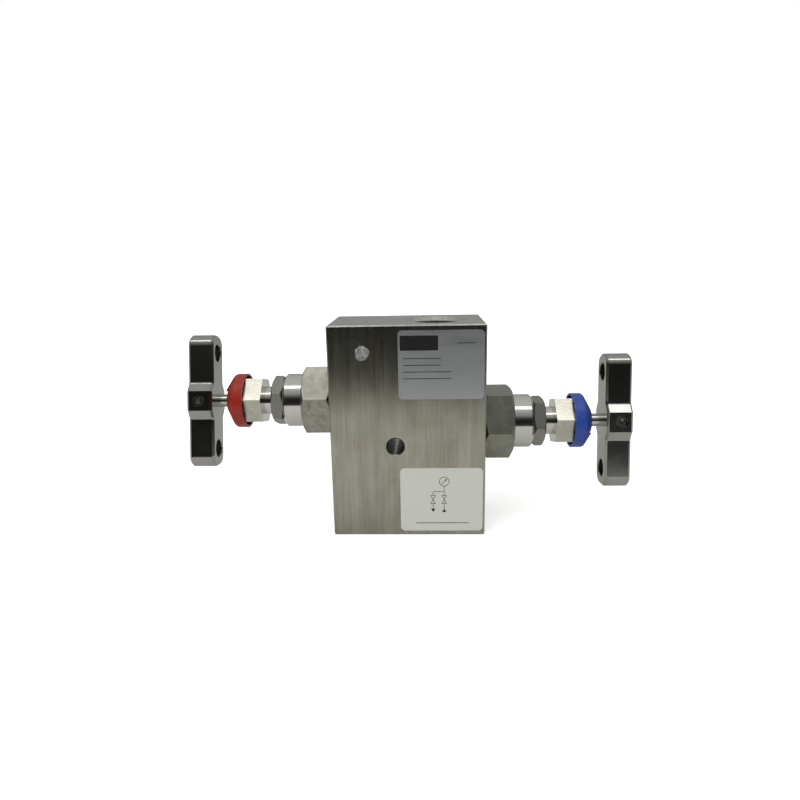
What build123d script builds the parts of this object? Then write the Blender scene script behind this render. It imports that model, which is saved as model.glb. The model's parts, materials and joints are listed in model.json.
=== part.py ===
from build123d import *
from math import radians, tan
import os

# Two-valve instrument manifold: a bar-stock block with a gauge port on top, a process inlet and
# a vent port underneath, and two screwed-in needle valve heads.  The isolate valve is on the +X
# side and the bleed valve on the -X side, both drawn fully open.  Millimetres, +Z up, origin at
# the centre of the block's bottom face.  Valve pieces are drawn along +X, from the block's
# mid-plane outwards with their front on -Y, and then placed on their valve's axis.

# ---------------------------------------------------------------- driving dimensions
# block
BLOCK_X = 63.5
BLOCK_Y = 38.1
BLOCK_Z = 88.9
BLOCK_EDGE = 0.5            # broken edges

# pipe ports
GAUGE_X = 12.0
INLET_X = 12.0
VENT_X = -14.0
HALF_NPT_R = 10.67          # half-inch pipe, outside radius
HALF_NPT_LENGTH = 16.0
HALF_NPT_MOUTH_R = 12.7
QUARTER_NPT_R = 6.86        # quarter-inch pipe, outside radius
QUARTER_NPT_LENGTH = 11.0
QUARTER_NPT_MOUTH_R = 8.1
TAP_STEP = 1.7              # tap-drill radius is this much under the pipe's
TAP_EXTRA = 3.0             # tap drill runs this much past the thread
DRILL_POINT = 59.0          # half angle of a drill's point, degrees

# drillings
RISER_X = 8.5               # inlet up to the isolate orifice
RISER_R = 2.4
CHAMBER_DRILL_R = 2.0       # each valve chamber's own vertical drilling

# mounting hole, through the block's depth
MOUNT_X = -5.1
MOUNT_Z = 39.1
MOUNT_R = 3.57
MOUNT_EDGE = 0.3

# labels on the front face
LABEL_X = 13.7
LABEL_W = 34.2
LABEL_H = 27.8
LABEL_CORNER = 1.8
LABEL_T = 0.1
DATA_LABEL_Z = 72.85
CIRCUIT_LABEL_Z = 15.9

# valve axes
ISOLATE_Z = 44.6
BLEED_RISE = 10.1           # the bleed valve sits this much above the isolate valve
BLEED_Z = ISOLATE_Z + BLEED_RISE

# seat and chamber, measured from the block's mid-plane
SEAT_S = 14.0
ORIFICE_R = 2.4
SEAT_BEVEL = 0.4
CHAMBER_R = 4.8
CHAMBER_LENGTH = 4.5
NOSE_R = 7.0                # plain inner end of the bonnet
NOSE_GAP = 0.5              # from the chamber's end to the bonnet's nose
NOSE_BORE_LENGTH = 3.0
SEAL_T = 0.8
SEAL_MARGIN = 0.25

# bonnet
BONNET_THREAD_R = 9.525
BONNET_HEX_AF = 28.0
BONNET_HEX_LENGTH = 12.7
BARREL_R = 11.45
BARREL_LENGTH = 8.35
BARREL_CHAMFER = 1.0

# needle tip and spindle
LIFT = 4.0                  # four turns of 1 mm pitch
LIFT_SPARE = 0.3            # left at the back seat when fully open
TIP_R = 3.4
TIP_FLAT_R = 1.2
TIP_HALF_ANGLE = 30.0
TIP_BODY_LENGTH = 2.0
TIP_NECK_R = 1.2
TIP_NECK_LENGTH = 1.1
TIP_HEAD_R = 1.9
TIP_HEAD_LENGTH = 1.2
SWIVEL_COLLAR_LENGTH = 3.4  # plain end of the spindle that holds the tip
STEM_THREAD_R = 4.0
STEM_THREAD_LENGTH = 7.0
STEM_R = 2.8
STEM_END_RECESS = 0.6       # spindle end under the T-bar's outer face
STEM_END_CHAMFER = 0.4
STEM_FLAT_DEPTH = 0.7       # flat for the set screw
STEM_FLAT_LENGTH = 6.5

# gland
BACK_SEAT_WALL = 1.6
PACKING_R = 5.2
PACKING_RINGS = 3
PACKING_RING_T = 2.5
BUSH_T = 2.2
GLAND_NOSE_LENGTH = 2.5
GLAND_THREAD_R = 6.0
GLAND_THREAD_UNDERCUT = 0.5
GLAND_NECK = 4.2            # shank left showing between lock nut and adjuster hex
GLAND_HEX_AF = 18.5
GLAND_HEX_LENGTH = 11.8
LOCK_NUT_AF = 19.05
LOCK_NUT_T = 5.2

# dust cap
CAP_R = 11.7
CAP_SKIRT = 4.6             # straight part
CAP_DOME = 3.5              # rise of the cone past the straight part
CAP_END_R = 5.6
CAP_WALL = 1.1
CAP_COVER = 4.3             # how far the cap covers the adjuster's hex
CAP_SHOULDER = 1.4
CAP_RIB_T = 0.5
CAP_RIB_WIDTH = 2.0
CAP_RIB_SPREAD = 24.0       # degrees between the three short ribs on the cone

# T-bar handle
HANDLE_LENGTH = 57.15
HANDLE_DEPTH = 13.0
HANDLE_THICK = 10.8
HANDLE_GAP = 5.4            # dust cap to T-bar, valve open
HANDLE_CORNER = 5.0
HANDLE_EDGE = 0.9
HUB_DEPTH = 18.0
HUB_FLAT = 8.4
HUB_HEIGHT = 15.4
HUB_BLEND = 1.6             # hollow blend between hub and bar
HANDLE_HOLE_R = 3.75
HANDLE_HOLE_S = 20.8        # from the handle's centre
HANDLE_HOLE_EDGE = 0.4
SCREW_S = 6.0               # from the T-bar's inner face
SCREW_R = 2.5
SCREW_LENGTH = 6.0
SCREW_CHAMFER = 0.4
SCREW_SOCKET_AF = 2.5
SCREW_SOCKET_DEPTH = 2.2
SCREW_CUP = 0.5

# clearances
THREAD_CLEARANCE = 0.05
RUNNING_CLEARANCE = 0.05
SWIVEL_CLEARANCE = 0.08
SLIP_CLEARANCE = 0.02
STEM_HOLE_CLEARANCE = 0.15
NOSE_CLEARANCE = 0.15
SEAT_CLEARANCE = 0.06
CAP_STEM_CLEARANCE = 0.2
CAP_HEX_CLEARANCE = 0.06

# how each piece happened to stop when it was tightened: degrees from straight at the front, upwards
ISOLATE_TURNS = {"bonnet": -5, "lock_nut": -4.5, "gland_adjuster": 15, "handle": 8}
BLEED_TURNS = {"bonnet": 13.5, "lock_nut": 27.5, "gland_adjuster": 13.5, "handle": 13}

# ---------------------------------------------------------------- stations along a valve axis
FACE_S = BLOCK_X / 2
CHAMBER_END = SEAT_S + CHAMBER_LENGTH
CHAMBER_MID = (SEAT_S + CHAMBER_END) / 2
NOSE_START = CHAMBER_END + NOSE_GAP
THREAD_BOTTOM = CHAMBER_END + NOSE_BORE_LENGTH
BONNET_SHOULDER = THREAD_BOTTOM + SEAL_T
HEX_END = FACE_S + BONNET_HEX_LENGTH
BARREL_END = HEX_END + BARREL_LENGTH

TIP_TAN = tan(radians(TIP_HALF_ANGLE))
TIP_SEAT_R = ORIFICE_R - SEAT_CLEARANCE
TIP_SEAT_S = SEAT_S - SEAT_BEVEL + LIFT
TIP_NOSE = TIP_SEAT_S - (TIP_SEAT_R - TIP_FLAT_R) / TIP_TAN
TIP_CONE_END = TIP_SEAT_S + (TIP_R - TIP_SEAT_R) / TIP_TAN
TIP_END = TIP_CONE_END + TIP_BODY_LENGTH
TIP_HEAD_START = TIP_END + TIP_NECK_LENGTH
TIP_HEAD_END = TIP_HEAD_START + TIP_HEAD_LENGTH

STEM_START = TIP_END + SWIVEL_CLEARANCE
STEM_THREAD_START = STEM_START + SWIVEL_COLLAR_LENGTH
STEM_THREAD_END = STEM_THREAD_START + STEM_THREAD_LENGTH
BACK_SEAT = STEM_THREAD_END + LIFT_SPARE
PACKING_START = BACK_SEAT + BACK_SEAT_WALL
PACKING_END = PACKING_START + PACKING_RINGS * PACKING_RING_T
BUSH_END = PACKING_END + BUSH_T
GLAND_SHANK_START = BUSH_END + GLAND_NOSE_LENGTH

LOCK_NUT_END = BARREL_END + LOCK_NUT_T
GLAND_HEX_START = LOCK_NUT_END + GLAND_NECK
GLAND_HEX_END = GLAND_HEX_START + GLAND_HEX_LENGTH
CAP_START = GLAND_HEX_END - CAP_COVER
CAP_SKIRT_END = CAP_START + CAP_SKIRT
CAP_END = CAP_SKIRT_END + CAP_DOME
HANDLE_START = CAP_END + HANDLE_GAP
HANDLE_END = HANDLE_START + HANDLE_THICK
SCREW_STATION = HANDLE_START + SCREW_S
STEM_END = HANDLE_END - STEM_END_RECESS
STEM_FLAT_Y = STEM_R - STEM_FLAT_DEPTH


# ---------------------------------------------------------------- shared shapes
def turned(*profile):
    """Solid of revolution about X under (station, radius) corners."""
    corners = [(profile[0][0], 0), *profile, (profile[-1][0], 0)]
    return revolve(make_face(Polyline(*corners, close=True)), Axis.X)


def cylinder(start, end, radius):
    return turned((start, radius), (end, radius))


def ring(start, end, inner, outer):
    return cylinder(start, end, outer) - cylinder(start, end, inner)


def hexagon(start, end, across_flats, chamfered_ends):
    """Hexagonal bar on X, a corner on -Y, with its corners turned off at 30 degrees on some ends."""
    flat_r = across_flats / 2
    corner_r = flat_r / 0.8660254
    face_r = flat_r * 0.96
    run = (corner_r - face_r) * tan(radians(30))
    sketch = Plane.YZ.offset(start) * RegularPolygon(flat_r, 6, major_radius=False)
    profile = [(start, corner_r), (end, corner_r)]
    if "start" in chamfered_ends:
        profile[0:1] = [(start, face_r), (start + run, corner_r)]
    if "end" in chamfered_ends:
        profile[-1:] = [(end - run, corner_r), (end, face_r)]
    return extrude(sketch, end - start) & turned(*profile)


def front_rod(station, radius, inner, outer):
    """Cylinder along Y on the -Y side of a valve axis."""
    rod = Cylinder(radius, outer - inner, align=(Align.CENTER, Align.CENTER, Align.MIN))
    return Pos(station, -inner, 0) * Rotation(90, 0, 0) * rod


# ---------------------------------------------------------------- placing on the valve axes
def isolate_place(piece, turn=0):
    return Pos(0, 0, ISOLATE_Z) * Rotation(-turn, 0, 0) * piece


def bleed_place(piece, turn=0):
    return Pos(0, 0, BLEED_Z) * Rotation(0, 0, 180) * Rotation(180 + turn, 0, 0) * piece


# ---------------------------------------------------------------- block
def pipe_port(radius, length, mouth_r):
    """Cutter for a pipe port that opens at z = 0 and runs up: lead-in, thread, tap drill, point."""
    thread_start = mouth_r - radius
    tap_r = radius - TAP_STEP
    tap_end = thread_start + length + TAP_EXTRA
    profile = Polyline(
        (0, -1), (mouth_r + 1, -1), (radius, thread_start), (radius, thread_start + length),
        (tap_r, thread_start + length), (tap_r, tap_end),
        (0, tap_end + tap_r / tan(radians(DRILL_POINT))),
        close=True,
    )
    return revolve(Plane.XZ * make_face(profile), Axis.Z)


def port_depth(radius, length, mouth_r):
    """Depth of a pipe port's tap drill, without its point."""
    return mouth_r - radius + length + TAP_EXTRA


def valve_cavity():
    """Cutter for one valve's seat, chamber, bonnet nose and bonnet thread."""
    nose_bore_r = NOSE_R + NOSE_CLEARANCE
    thread_bore_r = BONNET_THREAD_R + THREAD_CLEARANCE
    return turned(
        (SEAT_S - SEAT_BEVEL, ORIFICE_R), (SEAT_S, ORIFICE_R + SEAT_BEVEL), (SEAT_S, CHAMBER_R),
        (CHAMBER_END, CHAMBER_R), (CHAMBER_END, nose_bore_r), (THREAD_BOTTOM, nose_bore_r),
        (THREAD_BOTTOM, thread_bore_r), (FACE_S, thread_bore_r),
    )


def drilling(x, radius, low, high):
    """Vertical drilled hole."""
    rod = Cylinder(radius, high - low, align=(Align.CENTER, Align.CENTER, Align.MIN))
    return Pos(x, 0, low) * rod


def mounting_hole():
    """Through hole along Y with broken edges."""
    mouth = Pos(MOUNT_X, 0, MOUNT_Z) * Rotation(90, 0, 0)
    half = BLOCK_Y / 2
    profile = Polyline(
        (0, -half - 1), (MOUNT_R + MOUNT_EDGE + 1, -half - 1), (MOUNT_R, -half + MOUNT_EDGE),
        (MOUNT_R, half - MOUNT_EDGE), (MOUNT_R + MOUNT_EDGE + 1, half + 1), (0, half + 1),
        close=True,
    )
    return mouth * revolve(Plane.XZ * make_face(profile), Axis.Z)


def body_block():
    block = Pos(0, 0, BLOCK_Z / 2) * Box(BLOCK_X, BLOCK_Y, BLOCK_Z)
    block = chamfer(block.edges(), BLOCK_EDGE)

    half_inch = (HALF_NPT_R, HALF_NPT_LENGTH, HALF_NPT_MOUTH_R)
    quarter_inch = (QUARTER_NPT_R, QUARTER_NPT_LENGTH, QUARTER_NPT_MOUTH_R)
    block -= Pos(GAUGE_X, 0, BLOCK_Z) * Rotation(180, 0, 0) * pipe_port(*half_inch)
    block -= Pos(INLET_X, 0, 0) * pipe_port(*half_inch)
    block -= Pos(VENT_X, 0, 0) * pipe_port(*quarter_inch)

    block -= isolate_place(valve_cavity())
    block -= bleed_place(valve_cavity())
    # the isolate orifice meets the riser, the bleed orifice crosses to the gauge drilling
    block -= isolate_place(cylinder(RISER_X, SEAT_S, ORIFICE_R))
    block -= bleed_place(cylinder(-CHAMBER_MID, SEAT_S, ORIFICE_R))
    block -= drilling(RISER_X, RISER_R, port_depth(*half_inch) - 1, ISOLATE_Z)
    gauge_floor = BLOCK_Z - port_depth(*half_inch)
    block -= drilling(CHAMBER_MID, CHAMBER_DRILL_R, ISOLATE_Z, gauge_floor + 1)
    block -= drilling(-CHAMBER_MID, CHAMBER_DRILL_R, port_depth(*quarter_inch) - 1, BLEED_Z)
    return block - mounting_hole()


def front_label(z):
    """Rounded label stuck on the block's front face."""
    outline = Plane.XZ.offset(BLOCK_Y / 2) * Pos(LABEL_X, z)
    return extrude(outline * RectangleRounded(LABEL_W, LABEL_H, LABEL_CORNER), LABEL_T)


# ---------------------------------------------------------------- valve head pieces
def bonnet():
    outside = turned(
        (NOSE_START, NOSE_R), (BONNET_SHOULDER, NOSE_R), (BONNET_SHOULDER, BONNET_THREAD_R),
        (FACE_S, BONNET_THREAD_R), (FACE_S, BARREL_R), (BARREL_END - BARREL_CHAMFER, BARREL_R),
        (BARREL_END, BARREL_R - BARREL_CHAMFER),
    )
    nut = hexagon(FACE_S, HEX_END, BONNET_HEX_AF, ("start", "end"))
    stem_thread_bore_r = STEM_THREAD_R + RUNNING_CLEARANCE
    stem_hole_r = STEM_R + STEM_HOLE_CLEARANCE
    gland_bore_r = GLAND_THREAD_R + THREAD_CLEARANCE
    gland_bore_start = GLAND_SHANK_START - GLAND_THREAD_UNDERCUT
    inside = turned(
        (NOSE_START, stem_thread_bore_r), (BACK_SEAT, stem_thread_bore_r),
        (BACK_SEAT, stem_hole_r), (PACKING_START, stem_hole_r), (PACKING_START, PACKING_R),
        (gland_bore_start, PACKING_R), (gland_bore_start, gland_bore_r),
        (BARREL_END, gland_bore_r),
    )
    return outside + nut - inside


def bonnet_seal():
    return ring(
        THREAD_BOTTOM, BONNET_SHOULDER, NOSE_R + SLIP_CLEARANCE, BONNET_THREAD_R - SEAL_MARGIN
    )


def packing_rings(place):
    """Separate rings, stacked between the back seat's wall and the thrust bush."""
    inner = STEM_R + SLIP_CLEARANCE
    outer = PACKING_R - SLIP_CLEARANCE
    starts = [PACKING_START + i * PACKING_RING_T for i in range(PACKING_RINGS)]
    return Compound([place(ring(start, start + PACKING_RING_T, inner, outer)) for start in starts])


def thrust_bush():
    return ring(PACKING_END, BUSH_END, STEM_R + STEM_HOLE_CLEARANCE, PACKING_R - SLIP_CLEARANCE)


def gland_adjuster():
    """Hollow hex-headed screw that presses the bush on the packing."""
    nose_r = PACKING_R - RUNNING_CLEARANCE
    shank = turned(
        (BUSH_END, nose_r), (GLAND_SHANK_START, nose_r), (GLAND_SHANK_START, GLAND_THREAD_R),
        (GLAND_HEX_START, GLAND_THREAD_R),
    )
    head = hexagon(GLAND_HEX_START, GLAND_HEX_END, GLAND_HEX_AF, ("end",))
    return shank + head - cylinder(BUSH_END, GLAND_HEX_END, STEM_R + STEM_HOLE_CLEARANCE)


def lock_nut():
    nut = hexagon(BARREL_END, LOCK_NUT_END, LOCK_NUT_AF, ("start", "end"))
    return nut - cylinder(BARREL_END, LOCK_NUT_END, GLAND_THREAD_R + THREAD_CLEARANCE)


def dust_cap():
    """Thin plastic cap with a coned end, pushed over the adjuster's hex."""
    hex_corner_r = GLAND_HEX_AF / 2 / 0.8660254
    skirt_r = hex_corner_r + CAP_HEX_CLEARANCE
    shell = turned(
        (CAP_START, CAP_R), (CAP_SKIRT_END, CAP_R), (CAP_END, CAP_END_R),
    )
    shoulder = [e for e in shell.edges().filter_by(GeomType.CIRCLE) if abs(e.radius - CAP_R) < 0.01]
    shell = fillet(ShapeList(shoulder).sort_by(Axis.X)[-1], CAP_SHOULDER)
    # three short ribs, moulded on the lower side of the cone
    rib_blank = turned(
        (CAP_SKIRT_END, CAP_R - CAP_SHOULDER), (CAP_SKIRT_END + CAP_RIB_T, CAP_R - CAP_RIB_T),
        (CAP_END + CAP_RIB_T, CAP_END_R + CAP_RIB_T), (CAP_END, CAP_END_R - CAP_RIB_T),
    )
    for step in (-1, 0, 1):
        bar = Pos(CAP_END, 0, -CAP_R / 2 - CAP_END_R / 2) * Box(3 * CAP_DOME, CAP_RIB_WIDTH, CAP_R / 2)
        shell += rib_blank & (Rotation(step * CAP_RIB_SPREAD, 0, 0) * bar)
    inside = turned(
        (CAP_START, skirt_r), (GLAND_HEX_END + CAP_HEX_CLEARANCE, skirt_r),
        (CAP_END - CAP_WALL, CAP_END_R - CAP_WALL / 2),
    )
    stem_hole = cylinder(CAP_START, CAP_END + CAP_DOME, STEM_R + CAP_STEM_CLEARANCE)
    return shell - inside - stem_hole


def needle_tip():
    """Tip that swivels on the spindle's end, so that it doesn't turn on the seat."""
    return turned(
        (TIP_NOSE, TIP_FLAT_R), (TIP_CONE_END, TIP_R), (TIP_END, TIP_R), (TIP_END, TIP_NECK_R),
        (TIP_HEAD_START, TIP_NECK_R), (TIP_HEAD_START, TIP_HEAD_R), (TIP_HEAD_END, TIP_HEAD_R),
    )


def stem():
    body = turned(
        (STEM_START, TIP_R), (STEM_THREAD_START, TIP_R), (STEM_THREAD_START, STEM_THREAD_R),
        (STEM_THREAD_END, STEM_THREAD_R), (STEM_THREAD_END, STEM_R),
        (STEM_END - STEM_END_CHAMFER, STEM_R), (STEM_END, STEM_R - STEM_END_CHAMFER),
    )
    neck_r = TIP_NECK_R + SWIVEL_CLEARANCE
    head_r = TIP_HEAD_R + SWIVEL_CLEARANCE
    socket_start = TIP_HEAD_START - SWIVEL_CLEARANCE
    body -= turned(
        (STEM_START, neck_r), (socket_start, neck_r), (socket_start, head_r),
        (TIP_HEAD_END + SWIVEL_CLEARANCE, head_r),
    )
    flat = Pos(SCREW_STATION, -STEM_FLAT_Y - STEM_R, 0) * Box(STEM_FLAT_LENGTH, 2 * STEM_R, 2 * STEM_R)
    return body - flat


def handle():
    """T-bar with a thicker hub, rounded ends and a hole near each end."""
    bar = fillet(Rectangle(HANDLE_DEPTH, HANDLE_LENGTH).vertices(), HANDLE_CORNER)
    hub = make_face(Polyline(
        (-HUB_DEPTH / 2, HUB_FLAT / 2), (-HANDLE_DEPTH / 2, HUB_HEIGHT / 2),
        (HANDLE_DEPTH / 2, HUB_HEIGHT / 2), (HUB_DEPTH / 2, HUB_FLAT / 2),
        (HUB_DEPTH / 2, -HUB_FLAT / 2), (HANDLE_DEPTH / 2, -HUB_HEIGHT / 2),
        (-HANDLE_DEPTH / 2, -HUB_HEIGHT / 2), (-HUB_DEPTH / 2, -HUB_FLAT / 2),
        close=True,
    ))
    outline = bar + hub
    corners = [v for v in outline.vertices() if abs(abs(v.Y) - HUB_HEIGHT / 2) < 0.01]
    outline = fillet(corners, HUB_BLEND)
    body = extrude(Plane.YZ.offset(HANDLE_START) * outline, HANDLE_THICK)
    ends = body.faces().sort_by(Axis.X)
    body = chamfer(ends[0].outer_wire().edges() + ends[-1].outer_wire().edges(), HANDLE_EDGE)

    mouth_r = HANDLE_HOLE_R + HANDLE_HOLE_EDGE
    hole = turned(
        (HANDLE_START, mouth_r), (HANDLE_START + HANDLE_HOLE_EDGE, HANDLE_HOLE_R),
        (HANDLE_END - HANDLE_HOLE_EDGE, HANDLE_HOLE_R), (HANDLE_END, mouth_r),
    )
    for side in (-1, 1):
        body -= Pos(0, 0, side * HANDLE_HOLE_S) * hole
    body -= cylinder(HANDLE_START, HANDLE_END, STEM_R + SLIP_CLEARANCE)
    return body - front_rod(SCREW_STATION, SCREW_R + SLIP_CLEARANCE, 0, HUB_DEPTH / 2)


def set_screw():
    """Socket grub screw with a cup point, tight on the spindle's flat."""
    outer = STEM_FLAT_Y + SCREW_LENGTH
    screw = front_rod(SCREW_STATION, SCREW_R, STEM_FLAT_Y, outer)
    screw = chamfer(screw.edges().filter_by(GeomType.CIRCLE), SCREW_CHAMFER)
    socket = Plane.XZ.offset(outer) * Pos(SCREW_STATION, 0)
    socket *= RegularPolygon(SCREW_SOCKET_AF / 2, 6, major_radius=False)
    screw -= extrude(socket, -SCREW_SOCKET_DEPTH)
    cup = Cone(SCREW_R - 2 * SCREW_CHAMFER, SCREW_CHAMFER, SCREW_CUP,
               align=(Align.CENTER, Align.CENTER, Align.MIN))
    return screw - Pos(SCREW_STATION, -STEM_FLAT_Y, 0) * Rotation(90, 0, 0) * cup


# ---------------------------------------------------------------- writing the nodes
def write(name, shape):
    export_step(shape, f"parts/{name}.step")


def write_valve(name, place, turns):
    write(f"{name}_bonnet", place(bonnet(), turns["bonnet"]))
    write(f"{name}_bonnet_seal", place(bonnet_seal()))
    write(f"{name}_packing_rings", packing_rings(place))
    write(f"{name}_thrust_bush", place(thrust_bush()))
    write(f"{name}_gland_adjuster", place(gland_adjuster(), turns["gland_adjuster"]))
    write(f"{name}_lock_nut", place(lock_nut(), turns["lock_nut"]))
    write(f"{name}_dust_cap", place(dust_cap()))
    write(f"{name}_needle_tip", place(needle_tip()))
    for piece, shape in (("stem", stem()), ("handle", handle()), ("set_screw", set_screw())):
        write(f"{name}_{piece}", place(shape, turns["handle"]))


os.makedirs("parts", exist_ok=True)
write("body_block", body_block())
write("data_label", front_label(DATA_LABEL_Z))
write("circuit_label", front_label(CIRCUIT_LABEL_Z))
write_valve("isolate", isolate_place, ISOLATE_TURNS)
write_valve("bleed", bleed_place, BLEED_TURNS)
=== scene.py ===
"""Looks for the two-valve instrument manifold: stage, light, camera, finishes and small detail."""
import json
import math

import bmesh
import bpy
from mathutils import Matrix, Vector


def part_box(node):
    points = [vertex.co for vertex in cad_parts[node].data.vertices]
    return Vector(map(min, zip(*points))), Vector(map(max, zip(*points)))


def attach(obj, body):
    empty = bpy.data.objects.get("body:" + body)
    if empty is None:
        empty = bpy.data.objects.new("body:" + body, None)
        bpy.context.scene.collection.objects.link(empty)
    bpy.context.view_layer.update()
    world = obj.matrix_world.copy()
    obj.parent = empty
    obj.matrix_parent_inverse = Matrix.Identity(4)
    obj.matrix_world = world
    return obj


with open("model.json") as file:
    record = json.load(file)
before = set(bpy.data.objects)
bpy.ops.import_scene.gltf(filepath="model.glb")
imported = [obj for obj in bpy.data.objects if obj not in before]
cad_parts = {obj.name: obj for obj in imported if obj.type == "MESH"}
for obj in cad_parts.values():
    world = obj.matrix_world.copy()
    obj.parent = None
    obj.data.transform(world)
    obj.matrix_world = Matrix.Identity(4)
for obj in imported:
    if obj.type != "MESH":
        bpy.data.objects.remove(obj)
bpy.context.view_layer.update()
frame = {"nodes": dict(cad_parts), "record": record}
nodes = frame["nodes"]
MM = 0.001
ROOT = "manifold"
VALVES = ("isolate", "bleed")

# ---------------------------------------------------------------- places taken from the frame
block_low, block_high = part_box("body_block")
FRONT_Y = block_low.y
FACE_X = block_high.x
mounts = {m["name"]: m for m in frame["record"]["mounts"]}

# ---------------------------------------------------------------- camera
CAMERA_PLACE = (6.5 * MM, -258.7 * MM, 116.3 * MM)
CAMERA_TURN = (76.512, 1.025, 1.995)
CAMERA_LENS = 27.62


def make_camera():
    data = bpy.data.cameras.new("view")
    data.lens = CAMERA_LENS
    data.sensor_width = 36
    data.clip_start = 0.01
    data.clip_end = 20
    camera = bpy.data.objects.new("view", data)
    camera.location = CAMERA_PLACE
    camera.rotation_euler = [math.radians(a) for a in CAMERA_TURN]
    bpy.context.scene.collection.objects.link(camera)
    bpy.context.scene.camera = camera


# ---------------------------------------------------------------- node helpers
class Shade:
    """A node material under construction: short calls for the nodes used here."""

    def __init__(self, name):
        self.material = bpy.data.materials.new(name)
        self.material.use_nodes = True
        self.tree = self.material.node_tree
        self.bsdf = self.tree.nodes["Principled BSDF"]
        self.coords = self.node("ShaderNodeTexCoord").outputs["Object"]

    def node(self, kind, **settings):
        made = self.tree.nodes.new(kind)
        for key, value in settings.items():
            setattr(made, key, value)
        return made

    def put(self, socket, value):
        if isinstance(value, bpy.types.NodeSocket):
            self.tree.links.new(value, socket)
        else:
            socket.default_value = value

    def math(self, operation, a, b=0.5, c=0.0, clamp=False):
        made = self.node("ShaderNodeMath", operation=operation, use_clamp=clamp)
        for socket, value in zip(made.inputs, (a, b, c)):
            self.put(socket, value)
        return made.outputs[0]

    def axis(self, letter, vector=None):
        split = self.node("ShaderNodeSeparateXYZ")
        self.put(split.inputs[0], vector or self.coords)
        return split.outputs[letter]

    def scaled(self, scale, vector=None):
        """Coordinates stretched by a different factor on each axis, in features per metre."""
        made = self.node("ShaderNodeVectorMath", operation="MULTIPLY")
        self.put(made.inputs[0], vector or self.coords)
        made.inputs[1].default_value = scale
        return made.outputs[0]

    def noise(self, scale, detail=3.0, rough=0.55, distort=0.0, vector=None):
        made = self.node("ShaderNodeTexNoise")
        self.put(made.inputs["Vector"], self.scaled(scale, vector))
        made.inputs["Scale"].default_value = 1.0
        made.inputs["Detail"].default_value = detail
        made.inputs["Roughness"].default_value = rough
        made.inputs["Distortion"].default_value = distort
        return made.outputs[0]

    def span(self, value, low, high, to_low, to_high):
        made = self.node("ShaderNodeMapRange")
        for socket, number in zip(made.inputs, (value, low, high, to_low, to_high)):
            self.put(socket, number)
        return made.outputs[0]

    def mix(self, factor, a, b):
        made = self.node("ShaderNodeMix", data_type="RGBA")
        self.put(made.inputs["Factor"], factor)
        self.put(made.inputs["A"], a)
        self.put(made.inputs["B"], b)
        return made.outputs["Result"]

    def blend(self, factor, a, b):
        """Number a where factor is 0, b where it is 1."""
        made = self.node("ShaderNodeMix", data_type="FLOAT")
        self.put(made.inputs["Factor"], factor)
        self.put(made.inputs["A"], a)
        self.put(made.inputs["B"], b)
        return made.outputs["Result"]

    def bump(self, height, strength, depth, normal=None):
        made = self.node("ShaderNodeBump")
        made.inputs["Strength"].default_value = strength
        made.inputs["Distance"].default_value = depth
        self.put(made.inputs["Height"], height)
        if normal is not None:
            self.put(made.inputs["Normal"], normal)
        return made.outputs[0]

    def finish(self, colour, rough, normal=None, **constants):
        self.put(self.bsdf.inputs["Base Color"], colour)
        self.put(self.bsdf.inputs["Roughness"], rough)
        if normal is not None:
            self.put(self.bsdf.inputs["Normal"], normal)
        for name, value in constants.items():
            self.bsdf.inputs[name.replace("_", " ")].default_value = value
        return self.material


def rgb(*values):
    return (*values, 1.0)


def tinted(shade, colour, amount, variation):
    """Colour made darker and lighter by up to amount, following a 0..1 value."""
    dark = rgb(*[c * (1 - amount) for c in colour])
    light = rgb(*[min(1, c * (1 + amount)) for c in colour])
    return shade.mix(variation, dark, light)


# ---------------------------------------------------------------- materials
# painted shade on the walls of the ports and the mounting hole: its reach past each bore and its colour
BORE_MARGIN = 0.35 * MM
BORE_SHADE_COLOUR = (0.13, 0.13, 0.115)
LEVEL_FACE = 0.98     # how squarely a face looks up or down to count as level
END_FACE = 0.7        # the same, to take the milled finish of the block's ends


def bore_shade_mask(shade):
    """1 on the walls of the ports and the mounting hole, where shade is painted into the steel's colour
    in place of shadow.
    """
    inside = 0.0
    for mount in mounts.values():
        if "r_mm" not in mount.get("dims", {}):
            continue
        centre, axis = mount["pos_m"], mount["axis"]
        across = [letter for letter, part in zip("XYZ", axis) if abs(part) < 0.5]
        offsets = [shade.math("SUBTRACT", shade.axis(letter), centre["XYZ".index(letter)])
                   for letter in across]
        squares = [shade.math("MULTIPLY", offset, offset) for offset in offsets]
        reach = shade.math("SQRT", shade.math("ADD", *squares))
        radius = mount["dims"]["r_mm"] * MM + BORE_MARGIN
        inside = shade.math("MAXIMUM", inside, shade.math("LESS_THAN", reach, radius))
    up = shade.axis("Z", shade.node("ShaderNodeTexCoord").outputs["Normal"])
    level = shade.math("GREATER_THAN", shade.math("ABSOLUTE", up), LEVEL_FACE)
    return shade.math("MULTIPLY", inside, shade.math("SUBTRACT", 1.0, level))


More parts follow.
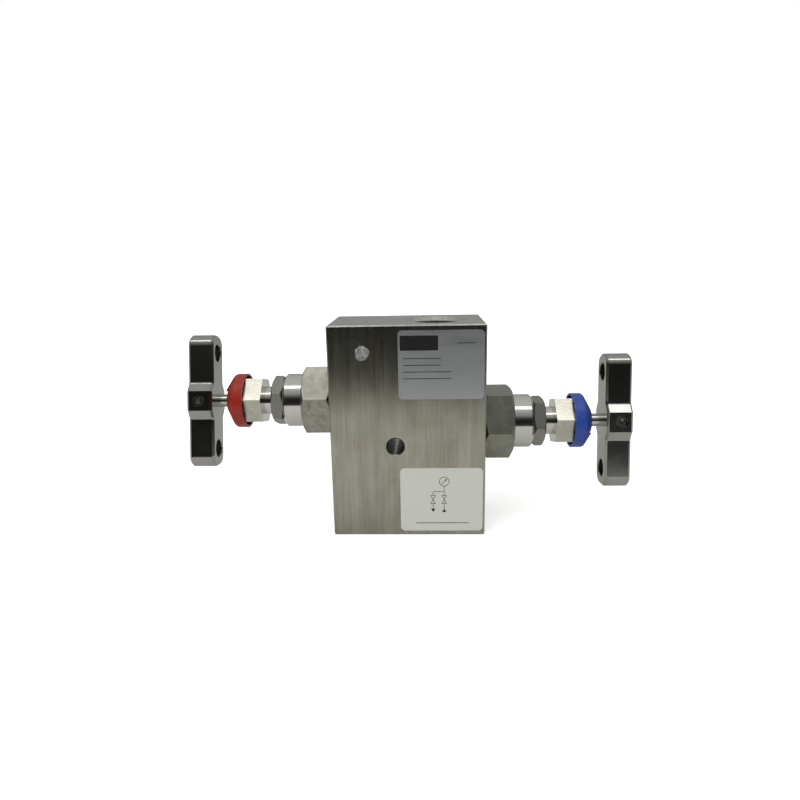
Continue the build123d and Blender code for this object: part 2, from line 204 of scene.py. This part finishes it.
def block_steel():
    """Bar stock, brushed along its height, its ends milled across."""
    s = Shade("block_steel")
    up = s.axis("Z", s.node("ShaderNodeTexCoord").outputs["Normal"])
    on_end = s.math("GREATER_THAN", s.math("ABSOLUTE", up), END_FACE)
    long_grain = s.noise((1500, 1500, 45), detail=4, rough=0.65)
    end_grain = s.noise((40, 1500, 40), detail=3)
    grain = s.blend(on_end, long_grain, end_grain)
    coarse = s.noise((380, 380, 24), detail=3, rough=0.6)
    cloud = s.noise((70, 70, 48), detail=5, rough=0.65, distort=0.6)
    height = s.math("MULTIPLY_ADD", coarse, 0.6, grain)
    normal = s.bump(height, 0.15, 0.00002)
    streak = s.math("MULTIPLY_ADD", coarse, 0.5, s.math("MULTIPLY", grain, 0.5))
    side_tone = s.mix(s.span(cloud, 0.32, 0.68, 0, 1),
                      rgb(0.37, 0.345, 0.275), rgb(0.47, 0.455, 0.40))
    tone = s.mix(on_end, side_tone, rgb(0.55, 0.55, 0.515))
    # painted shade: the walls of the ports and the mounting hole, thread ridges included, are darkened
    # in the colour in place of shadow
    tone = s.mix(bore_shade_mask(s), tone, rgb(*BORE_SHADE_COLOUR))
    dark = s.span(streak, 0.36, 0.64, 0.80, 1.12)
    colour = s.node("ShaderNodeVectorMath", operation="SCALE")
    s.put(colour.inputs[0], tone)
    s.put(colour.inputs["Scale"], dark)
    rough = s.span(streak, 0.3, 0.7, 0.22, 0.28)
    tangent = s.node("ShaderNodeTangent", direction_type="RADIAL", axis="Z")
    s.put(s.bsdf.inputs["Tangent"], tangent.outputs[0])
    return s.finish(colour.outputs[0], rough, normal, Metallic=1.0, Anisotropic=0.6)


def hex_and_barrel_steel(name, hex_colour, hex_mottle, hex_rough, split_x, round_is_outer,
                         round_rough):
    """Turned barrel with fine lathe rings and a duller, mottled hex, split at a distance along X."""
    s = Shade(name)
    along = s.math("ABSOLUTE", s.axis("X"))
    outer = s.math("GREATER_THAN", along, split_x)
    is_round = outer if round_is_outer else s.math("SUBTRACT", 1.0, outer)
    rings = s.noise((5200, 60, 60), detail=2)
    mottle = s.noise((260, 260, 260), detail=5, rough=0.7, distort=0.6)
    grit = s.noise((2400, 2400, 2400), detail=3, rough=0.6)
    stains = s.noise((90, 90, 90), detail=3, rough=0.6)
    hex_height = s.math("MULTIPLY_ADD", grit, 0.35, mottle)
    height = s.blend(is_round, hex_height, s.math("MULTIPLY", rings, 0.10))
    normal = s.bump(height, 0.5, 0.00005)
    patches = s.math("MULTIPLY_ADD", mottle, 0.7, s.math("MULTIPLY", stains, 0.3))
    hex_tone = tinted(s, hex_colour, hex_mottle, s.span(patches, 0.38, 0.62, 0, 1))
    colour = s.mix(is_round, hex_tone, tinted(s, (0.66, 0.65, 0.61), 0.06, rings))
    rough_hex = s.span(mottle, 0.3, 0.7, hex_rough - 0.06, hex_rough + 0.06)
    rough = s.blend(is_round, rough_hex, s.span(rings, 0.2, 0.8, round_rough, round_rough + 0.06))
    return s.finish(colour, rough, normal, Metallic=1.0)


def grainy_steel():
    """Tumbled lock nut: even, fine and dull."""
    s = Shade("lock_nut_steel")
    grain = s.noise((3000, 3000, 3000), detail=3, rough=0.7)
    patch = s.noise((240, 240, 240), detail=3)
    normal = s.bump(s.math("MULTIPLY_ADD", patch, 0.5, grain), 0.55, 0.00005)
    colour = tinted(s, (0.34, 0.335, 0.30), 0.28, grain)
    return s.finish(colour, s.span(grain, 0.3, 0.7, 0.34, 0.48), normal, Metallic=1.0)


def handle_steel():
    """Milled T-bar: satin faces with a faint vertical cutter grain."""
    s = Shade("handle_steel")
    grain = s.noise((900, 900, 60), detail=4, rough=0.6)
    fine = s.noise((4200, 4200, 240), detail=2)
    cloud = s.noise((70, 70, 70), detail=3, distort=0.5)
    normal = s.bump(s.math("MULTIPLY_ADD", fine, 0.5, grain), 0.22, 0.00002)
    streak = s.math("MULTIPLY_ADD", grain, 0.5, s.math("MULTIPLY", cloud, 0.5))
    tone = tinted(s, (0.39, 0.38, 0.355), 0.10, streak)
    return s.finish(tone, s.span(cloud, 0.3, 0.7, 0.15, 0.21), normal, Metallic=1.0)


def turned_steel(name, colour, rough):
    """Bright turned piece with fine rings round the valve's axis."""
    s = Shade(name)
    rings = s.noise((6000, 80, 80), detail=2)
    smear = s.noise((150, 150, 150), detail=3)
    normal = s.bump(rings, 0.12, 0.00002)
    tone = tinted(s, colour, 0.08, smear)
    return s.finish(tone, s.span(smear, 0.3, 0.7, rough, rough + 0.08), normal, Metallic=1.0)


def cap_plastic(name, colour):
    """Soft moulded plastic: slightly see-through, faint flow marks and scuffs."""
    s = Shade(name)
    orange_peel = s.noise((900, 900, 900), detail=2)
    flow = s.noise((120, 120, 120), detail=3, distort=0.8)
    scuff = s.noise((380, 2400, 2400), detail=4, rough=0.7)
    normal = s.bump(s.math("MULTIPLY_ADD", flow, 0.8, orange_peel), 0.25, 0.00006)
    tone = tinted(s, colour, 0.16, flow)
    faded = rgb(*[c * 0.7 + 0.12 for c in colour])
    worn = s.span(scuff, 0.58, 0.78, 0, 0.35)
    return s.finish(s.mix(worn, tone, faded), s.span(scuff, 0.3, 0.8, 0.34, 0.50), normal,
                    Subsurface_Weight=0.12, Subsurface_Scale=0.001)


def film(name, colour, metallic, rough):
    """Printed label film: fine grain and a few light rubs."""
    s = Shade(name)
    grain = s.noise((2200, 2200, 2200), detail=2)
    rubs = s.noise((60, 60, 240), detail=4, distort=0.6)
    normal = s.bump(s.math("MULTIPLY_ADD", rubs, 1.5, grain), 0.10, 0.00005)
    uneven = s.math("MULTIPLY_ADD", rubs, 0.6, s.math("MULTIPLY", grain, 0.4))
    tone = tinted(s, colour, 0.05, uneven)
    return s.finish(tone, s.span(rubs, 0.3, 0.7, rough - 0.05, rough + 0.05), normal, Metallic=metallic)


def plain(name, colour, rough, grain_scale, grain_amount, metallic=0.0):
    """Small hidden or printed piece with an even grain."""
    s = Shade(name)
    grain = s.noise((grain_scale,) * 3, detail=3)
    normal = s.bump(grain, 0.2, 0.00003)
    tone = tinted(s, colour, grain_amount, grain)
    uneven = s.span(grain, 0.2, 0.8, rough - 0.06, rough + 0.06)
    return s.finish(tone, uneven, normal, Metallic=metallic)


def dress(node, material):
    """Gives a CAD node its finish in every material slot."""
    mesh = nodes[node].data
    if not mesh.materials:
        mesh.materials.append(material)
    for index in range(len(mesh.materials)):
        mesh.materials[index] = material


HEX_LENGTH = 12.7 * MM
NECK_LENGTH = 4.2 * MM


def dress_all():
    steel = block_steel()
    dress("body_block", steel)
    dress("data_label", film("silver_film", (0.60, 0.62, 0.62), 0.86, 0.36))
    dress("circuit_label", film("white_film", (0.80, 0.805, 0.74), 0.06, 0.45))
    hex_end = FACE_X + HEX_LENGTH
    nut_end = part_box("isolate_lock_nut")[1].x
    bonnets = {
        "bleed": hex_and_barrel_steel(
            "bleed_bonnet_steel", (0.37, 0.35, 0.31), 0.30, 0.40, hex_end, True, 0.11),
        "isolate": hex_and_barrel_steel(
            "isolate_bonnet_steel", (0.32, 0.32, 0.27), 0.16, 0.36, hex_end, True, 0.11),
    }
    adjuster = hex_and_barrel_steel(
        "adjuster_steel", (0.53, 0.51, 0.44), 0.12, 0.28, nut_end + NECK_LENGTH, False, 0.12)
    caps = {
        "bleed": cap_plastic("red_plastic", (0.36, 0.020, 0.007)),
        "isolate": cap_plastic("blue_plastic", (0.028, 0.075, 0.40)),
    }
    nut = grainy_steel()
    handle = handle_steel()
    stem = turned_steel("stem_steel", (0.60, 0.59, 0.55), 0.16)
    tip = turned_steel("tip_steel", (0.62, 0.62, 0.60), 0.12)
    bush = turned_steel("bush_steel", (0.58, 0.58, 0.56), 0.2)
    screw = plain("screw_steel", (0.62, 0.61, 0.57), 0.22, 1800, 0.15, metallic=1.0)
    ring = plain("seal_ring_metal", (0.68, 0.68, 0.65), 0.4, 1500, 0.1, metallic=1.0)
    white = plain("packing_white", (0.84, 0.84, 0.82), 0.5, 900, 0.05)
    for valve in VALVES:
        finishes = {
            "bonnet": bonnets[valve], "gland_adjuster": adjuster, "dust_cap": caps[valve],
            "lock_nut": nut, "handle": handle, "stem": stem, "needle_tip": tip,
            "thrust_bush": bush, "set_screw": screw, "bonnet_seal": ring, "packing_rings": white,
        }
        for piece, material in finishes.items():
            dress(f"{valve}_{piece}", material)
    return steel


# ---------------------------------------------------------------- added pieces
def mesh_object(name, verts, faces, material, smooth=False):
    mesh = bpy.data.meshes.new(name)
    mesh.from_pydata(verts, [], faces)
    mesh.materials.append(material)
    for polygon in mesh.polygons:
        polygon.use_smooth = smooth
    mesh.validate()
    made = bpy.data.objects.new(name, mesh)
    bpy.context.scene.collection.objects.link(made)
    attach(made, ROOT)
    return made


def face_outward(made, weld=0.0):
    """Joins points closer than weld, then turns every face outwards."""
    tidy = bmesh.new()
    tidy.from_mesh(made.data)
    if weld:
        bmesh.ops.remove_doubles(tidy, verts=tidy.verts, dist=weld)
    bmesh.ops.recalc_face_normals(tidy, faces=tidy.faces)
    tidy.to_mesh(made.data)
    tidy.free()


THREAD_STEPS = 64               # per turn
THREAD_FADE = THREAD_STEPS / 3  # steps over which each end of a ridge rises
RIDGE_SINK = 0.04 * MM          # how far a ridge's root lies in the wall
RIDGE_CLEAR = 0.001 * MM        # keeps a faded crest off the wall
ROOT_SHARE = 0.47               # a ridge's half widths, as shares of its pitch
CREST_SHARE = 0.07


def pipe_thread(name, port, pitch, depth, material):
    """Helical ridge inside a port's wall, fading out at both ends."""
    mount = mounts[port]
    centre, out = Vector(mount["pos_m"]), Vector(mount["axis"])
    radius, length = mount["dims"]["r_mm"] * MM, mount["dims"]["length_mm"] * MM
    turns = length / pitch - 1
    count = int(turns * THREAD_STEPS)
    verts, faces = [], []
    for i in range(count + 1):
        angle = 2 * math.pi * i / THREAD_STEPS
        along = length / 2 - pitch / 2 - pitch * i / THREAD_STEPS
        fade = min(1.0, i / THREAD_FADE, (count - i) / THREAD_FADE)
        crest = radius - depth * fade - RIDGE_CLEAR
        profile = (
            (radius + RIDGE_SINK, along + pitch * ROOT_SHARE), (crest, along + pitch * CREST_SHARE),
            (crest, along - pitch * CREST_SHARE), (radius + RIDGE_SINK, along - pitch * ROOT_SHARE),
        )
        for r, a in profile:
            # right-hand: turning the male part clockwise drives it into the port
            x, y = r * math.cos(angle), -r * math.sin(angle) * out.z
            verts.append(centre + Vector((x, y, 0)) + out * a)
    for i in range(count):
        for j in range(4):
            a, b = i * 4 + j, i * 4 + (j + 1) % 4
            faces.append((a, b, b + 4, a + 4))
    faces.append((0, 3, 2, 1))
    last = count * 4
    faces.append((last, last + 1, last + 2, last + 3))
    face_outward(mesh_object(name, verts, faces, material))


INK_T = 0.03 * MM
INK_SINK = INK_T * 0.3     # how far the print's back lies in the label
RULE_WIDTH = 0.28


def ink_prism(outline, face_y, verts, faces):
    """Adds a closed thin prism, standing off a face towards -Y, from (x, z) corners in order."""
    start, n = len(verts), len(outline)
    verts += [(x, face_y + INK_SINK, z) for x, z in outline]
    verts += [(x, face_y - INK_T, z) for x, z in outline]
    faces.append(tuple(start + n + i for i in range(n)))
    faces.append(tuple(start + i for i in reversed(range(n))))
    for i in range(n):
        j = (i + 1) % n
        faces.append((start + i, start + j, start + n + j, start + n + i))


def rectangle(x0, z0, x1, z1):
    return [(x0, z0), (x1, z0), (x1, z1), (x0, z1)]


def stroke(x0, z0, x1, z1, width):
    """Thin straight line as a rectangle."""
    along = Vector((x1 - x0, z1 - z0)).normalized()
    side = Vector((-along.y, along.x)) * (width / 2)
    ends = [Vector((x0, z0)), Vector((x1, z1))]
    return [tuple(ends[0] + side), tuple(ends[0] - side),
            tuple(ends[1] - side), tuple(ends[1] + side)]


def arc_strokes(x, z, radius, start, end, width, steps):
    """Line bent round an arc, as short strokes, angles in degrees."""
    points = []
    for i in range(steps + 1):
        a = math.radians(start + (end - start) * i / steps)
        points.append((x + radius * math.cos(a), z + radius * math.sin(a)))
    return [stroke(*p, *q, width) for p, q in zip(points, points[1:])]


def ink(name, outlines, node, material):
    """Printed shapes on a label's front, all in millimetres on the block's front face."""
    face_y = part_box(node)[0].y
    verts, faces = [], []
    for outline in outlines:
        ink_prism([(x * MM, z * MM) for x, z in outline], face_y, verts, faces)
    face_outward(mesh_object(name, verts, faces, material))


def data_label_print(material):
    """Plain heading bar and blank entry rules."""
    low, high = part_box("data_label")
    left, top = low.x / MM, high.z / MM
    bar = rectangle(left + 0.8, top - 8.0, left + 15.9, top - 2.1)
    shapes = [bar]
    for i, length in enumerate((15.0, 15.0, 19.0, 19.0)):
        z = top - 11.2 - 2.7 * i
        shapes.append(stroke(left + 2.0, z, left + 2.0 + length, z, RULE_WIDTH))
    shapes.append(stroke(left + 23.5, top - 5.2, left + 30.5, top - 5.2, RULE_WIDTH))
    ink("data_label_print", shapes, "data_label", material)


def circuit_label_print(black, red):
    """Flow diagram: gauge, isolate valve over the inlet, bleed valve over the vent."""
    low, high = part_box("circuit_label")
    left, top = low.x / MM, high.z / MM
    thin = 0.22
    inlet_x, vent_x = left + 18.2, left + 13.6
    gauge_z, valve_z, tip_z, branch_z = top - 5.9, top - 13.8, top - 19.4, top - 10.3
    gauge_r, valve_w, valve_h, arrow_w, arrow_h = 2.0, 0.95, 1.8, 0.9, 1.5
    shapes = arc_strokes(inlet_x, gauge_z, gauge_r, 0, 360, thin, 36)
    shapes.append(stroke(inlet_x - 1.1, gauge_z - 1.1, inlet_x + 0.6, gauge_z + 0.6, thin))
    shapes.append([(inlet_x + 1.2, gauge_z + 1.2), (inlet_x + 0.2, gauge_z + 0.8),
                   (inlet_x + 0.8, gauge_z + 0.2)])
    for x in (inlet_x, vent_x):
        for side in (-1, 1):
            wide = valve_z + side * valve_h
            triangle = [(x - valve_w, wide), (x + valve_w, wide), (x, valve_z)]
            for p, q in zip(triangle, triangle[1:] + triangle[:1]):
                shapes.append(stroke(*p, *q, thin))
        shapes.append(stroke(x, valve_z - valve_h, x, tip_z + arrow_h, thin))
    shapes.append([(inlet_x - arrow_w, tip_z), (inlet_x + arrow_w, tip_z),
                   (inlet_x, tip_z + arrow_h)])
    shapes.append([(vent_x - arrow_w, tip_z + arrow_h), (vent_x, tip_z),
                   (vent_x + arrow_w, tip_z + arrow_h)])
    shapes.append(stroke(left + 6.5, top - 24.3, left + 28.5, top - 24.3, RULE_WIDTH))
    ink("circuit_label_print", shapes, "circuit_label", black)
    lines = [
        stroke(inlet_x, gauge_z - gauge_r, inlet_x, valve_z + valve_h, thin),
        stroke(vent_x, branch_z, inlet_x - thin / 2, branch_z, thin),
        stroke(vent_x, branch_z - thin / 2, vent_x, valve_z + valve_h, thin),
    ]
    ink("circuit_label_lines", lines, "circuit_label", red)


DAB_CENTRE = (-17.6, 77.8)
DAB_T = 0.10 * MM
DAB_SINK = 0.01 * MM       # how far its rim lies in the block
DAB_WELD = 1e-6            # metres, joins the points of its middle
DAB_RINGS, DAB_AROUND = 6, 48
DAB_RADIUS, DAB_WAVE, DAB_LEFT, DAB_TRIM = 3.15, 0.10, 2.85, 0.85


def paint_dab():
    """Dab of light marking paint, coloured mid grey as painted shade: straight left side, round top,
    lower right trimmed.
    """
    s = Shade("shaded_marking_paint")
    blotch = s.noise((900, 900, 900), detail=4, rough=0.7, distort=0.5)
    normal = s.bump(blotch, 0.6, 0.00008)
    # painted shade: the light paint is coloured mid grey for the shade on the front face where it sits;
    # the spread around that grey is its own blotching
    tone = tinted(s, (0.31, 0.32, 0.305), 0.50, s.span(blotch, 0.38, 0.62, 0, 1))
    material = s.finish(tone, 0.6, normal)
    rings, around = DAB_RINGS, DAB_AROUND
    verts, faces = [], []
    for ring in range(rings + 1):
        size = 1 - ring / rings
        for i in range(around):
            angle = 2 * math.pi * i / around
            reach = dab_reach(angle) * size
            x = DAB_CENTRE[0] + reach * math.cos(angle)
            z = DAB_CENTRE[1] + reach * math.sin(angle)
            rise = DAB_T * (1 - size ** 3) if size < 1 else -DAB_SINK
            verts.append((x * MM, FRONT_Y - rise, z * MM))
    for ring in range(rings):
        for i in range(around):
            j = (i + 1) % around
            a, b = ring * around + i, ring * around + j
            faces.append((a, b, b + around, a + around))
    faces.append(tuple(reversed(range(around))))
    made = mesh_object("paint_dab", verts, faces, material, smooth=True)
    face_outward(made, DAB_WELD)


def dab_reach(angle):
    """Millimetres from the dab's centre to its outline."""
    side, height = math.cos(angle), math.sin(angle)
    reach = DAB_RADIUS + DAB_WAVE * math.sin(5 * angle)
    if side < 0:
        reach = min(reach, DAB_LEFT / -side)
    if side > 0 and height < 0:
        reach -= DAB_TRIM * side * -height
    return reach


# ---------------------------------------------------------------- stage and light
FLOOR_FRONT = -0.27
FLOOR_BACK = 1.2
FLOOR_HALF = 1.6
GLOW_REACH = (0.08, 0.40)  # metres from the origin over which the floor's glow rises
GLOW_LEVEL = (0.62, 1.0)


def make_floor():
    """Pale paper, lifted towards white for the camera only, so that the shadow stays."""
    verts = [(-FLOOR_HALF, FLOOR_FRONT, 0), (FLOOR_HALF, FLOOR_FRONT, 0),
             (FLOOR_HALF, FLOOR_BACK, 0), (-FLOOR_HALF, FLOOR_BACK, 0)]
    mesh = bpy.data.meshes.new("floor")
    mesh.from_pydata(verts, [], [(0, 1, 2, 3)])
    floor = bpy.data.objects.new("floor", mesh)
    bpy.context.scene.collection.objects.link(floor)
    s = Shade("floor_paper")
    grain = s.noise((300, 300, 300), detail=3)
    colour = tinted(s, (0.80, 0.80, 0.785), 0.02, grain)
    s.finish(colour, 0.9, Specular_IOR_Level=0.1)
    glow = s.node("ShaderNodeEmission")
    glow.inputs["Color"].default_value = rgb(1, 1, 1)
    seen = s.node("ShaderNodeLightPath").outputs["Is Camera Ray"]
    away = s.node("ShaderNodeVectorMath", operation="LENGTH")
    s.put(away.inputs[0], s.coords)
    strength = s.span(away.outputs["Value"], *GLOW_REACH, *GLOW_LEVEL)
    s.put(glow.inputs["Strength"], s.math("MULTIPLY", seen, strength))
    both = s.node("ShaderNodeAddShader")
    s.put(both.inputs[0], s.bsdf.outputs[0])
    s.put(both.inputs[1], glow.outputs[0])
    s.put(s.tree.nodes["Material Output"].inputs["Surface"], both.outputs[0])
    mesh.materials.append(s.material)


def make_world():
    """White to the camera only.  Metal reflects a studio and not that white: dark behind the
    camera, pale behind the object, and dim overhead."""
    world = bpy.data.worlds.new("studio")
    bpy.context.scene.world = world
    world.use_nodes = True
    tree = world.node_tree
    tree.nodes.clear()

    def node(kind, **settings):
        made = tree.nodes.new(kind)
        for key, value in settings.items():
            setattr(made, key, value)
        return made

    def link(a, b):
        tree.links.new(a, b)

    split = node("ShaderNodeSeparateXYZ")
    link(node("ShaderNodeTexCoord").outputs["Generated"], split.inputs[0])

    def ramp(value, stops):
        made = node("ShaderNodeValToRGB")
        link(value, made.inputs[0])
        ramp_stops = made.color_ramp.elements
        while len(ramp_stops) < len(stops):
            ramp_stops.new(0.5)
        for element, (place, shade) in zip(ramp_stops, stops):
            element.position = place
            element.color = (*shade, 1)
        return made.outputs[0]

    def half(value):
        """-1..1 to 0..1."""
        made = node("ShaderNodeMapRange")
        link(value, made.inputs[0])
        made.inputs[1].default_value = -1
        return made.outputs[0]

    height = half(split.outputs["Z"])
    front = ramp(height, [(0.0, (0.05,) * 3), (0.62, (0.012, 0.013, 0.011)),
                          (0.70, (0.05, 0.05, 0.045)), (0.80, (0.30, 0.31, 0.30)),
                          (1.0, (0.60, 0.61, 0.60))])
    back = ramp(height, [(0.0, (0.45,) * 3), (0.5, (0.30, 0.315, 0.305)), (0.7, (0.40, 0.41, 0.40)),
                         (1.0, (0.60, 0.61, 0.60))])
    depth = ramp(half(split.outputs["Y"]), [(0.36, (0, 0, 0)), (0.56, (1, 1, 1))])
    around = node("ShaderNodeMix", data_type="RGBA")
    link(depth, around.inputs["Factor"])
    link(front, around.inputs["A"])
    link(back, around.inputs["B"])
    seen = node("ShaderNodeMix", data_type="RGBA")
    link(node("ShaderNodeLightPath").outputs["Is Camera Ray"], seen.inputs["Factor"])
    link(around.outputs["Result"], seen.inputs["A"])
    seen.inputs["B"].default_value = (1, 1, 1, 1)
    background = node("ShaderNodeBackground")
    link(seen.outputs["Result"], background.inputs["Color"])
    link(background.outputs[0], node("ShaderNodeOutputWorld").inputs["Surface"])


def make_lamp(name, place, target, size, watts, seen_in_metal=True):
    data = bpy.data.lights.new(name, "AREA")
    data.shape = "RECTANGLE"
    data.size, data.size_y = size
    data.energy = watts
    lamp = bpy.data.objects.new(name, data)
    lamp.location = place
    aim = Vector(target) - Vector(place)
    lamp.rotation_euler = aim.to_track_quat("-Z", "Y").to_euler()
    lamp.visible_glossy = seen_in_metal
    bpy.context.scene.collection.objects.link(lamp)


def make_light():
    middle = (0, 0, 0.05)
    make_lamp("strip", (0, -0.24, 0.72), middle, (0.75, 0.12), 0.9)
    make_lamp("fill", (-0.5, -0.75, 0.55), middle, (0.6, 0.5), 3.9, seen_in_metal=False)
    make_lamp("overhead", (0.1, 0.15, 0.95), middle, (0.9, 0.7), 0.8, seen_in_metal=False)


# ---------------------------------------------------------------- build
bpy.context.scene.view_settings.view_transform = "Standard"
make_camera()
block_material = dress_all()
HALF_PITCH = 1.814 * MM      # half-inch pipe, 14 threads to the inch
QUARTER_PITCH = 1.411 * MM   # quarter-inch pipe, 18 threads to the inch
pipe_thread("gauge_port_thread", "gauge_port", HALF_PITCH, 1.15 * MM, block_material)
pipe_thread("process_port_thread", "process_port", HALF_PITCH, 1.15 * MM, block_material)
pipe_thread("vent_port_thread", "vent_port", QUARTER_PITCH, 0.90 * MM, block_material)
black_ink = plain("black_ink", (0.012, 0.012, 0.012), 0.45, 2500, 0.3)
red_ink = plain("red_ink", (0.22, 0.05, 0.04), 0.5, 2500, 0.3)
data_label_print(black_ink)
circuit_label_print(black_ink, red_ink)
paint_dab()
make_floor()
make_world()
make_light()
